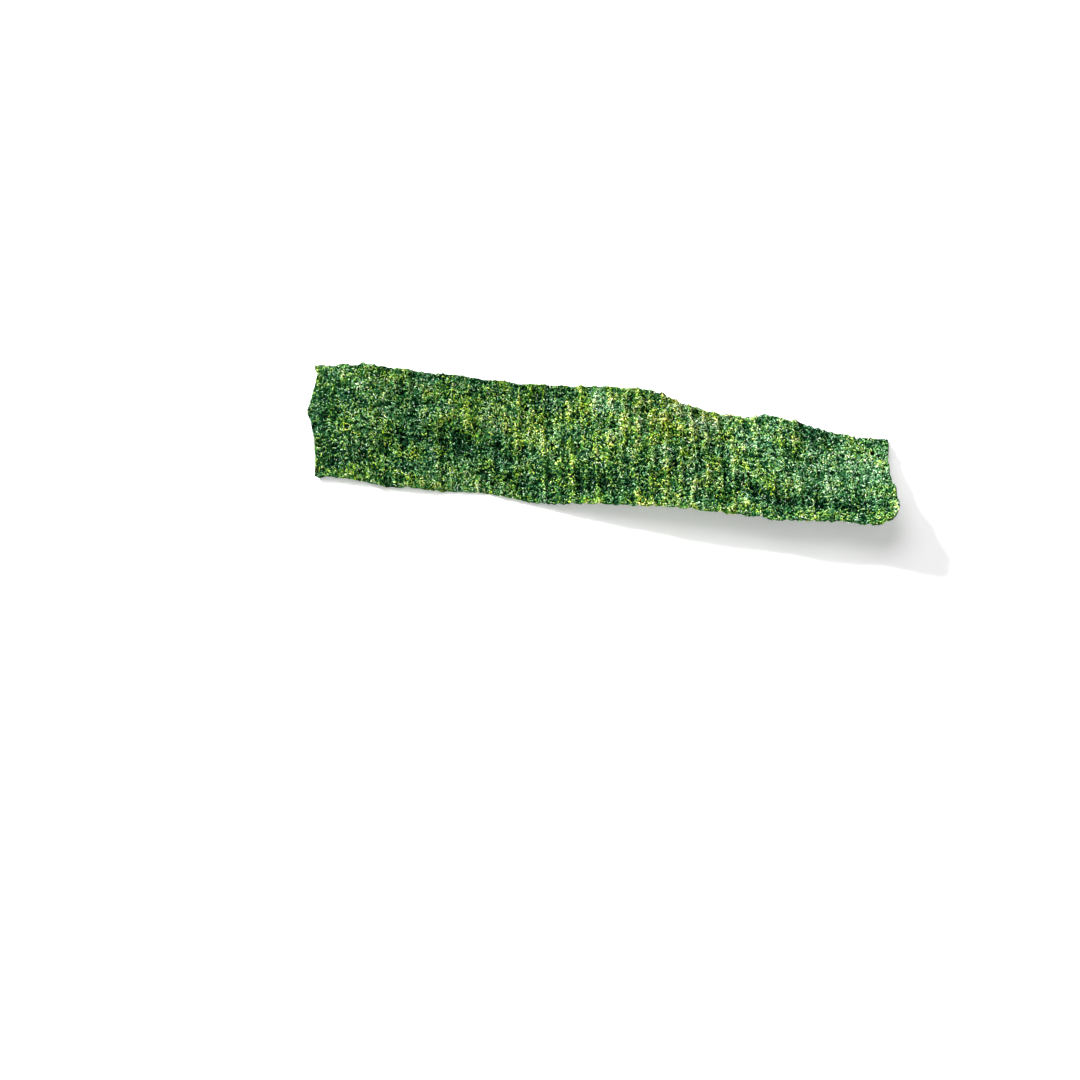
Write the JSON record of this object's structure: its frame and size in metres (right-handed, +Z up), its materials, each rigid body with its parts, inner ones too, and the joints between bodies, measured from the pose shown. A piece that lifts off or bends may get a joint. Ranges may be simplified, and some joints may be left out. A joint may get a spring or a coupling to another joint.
{
  "type": "seaweed snack strip",
  "caption": "Thin crisp strip of roasted green seaweed, wavy and slightly twisted, eaten as a snack.",
  "frame": {"origin": "under the middle of the strip's box, on the surface that it lies on", "axes": "+X along the strip towards its twisted end, +Y across it, +Z up"},
  "size_m": [0.1088, 0.0252, 0.0084],
  "materials": {
    "roasted_seaweed": "crinkled, with an oily sheen"
  },
  "bodies": {
    "root": {"seaweed_strip": "roasted_seaweed"}
  },
  "joints": []
}
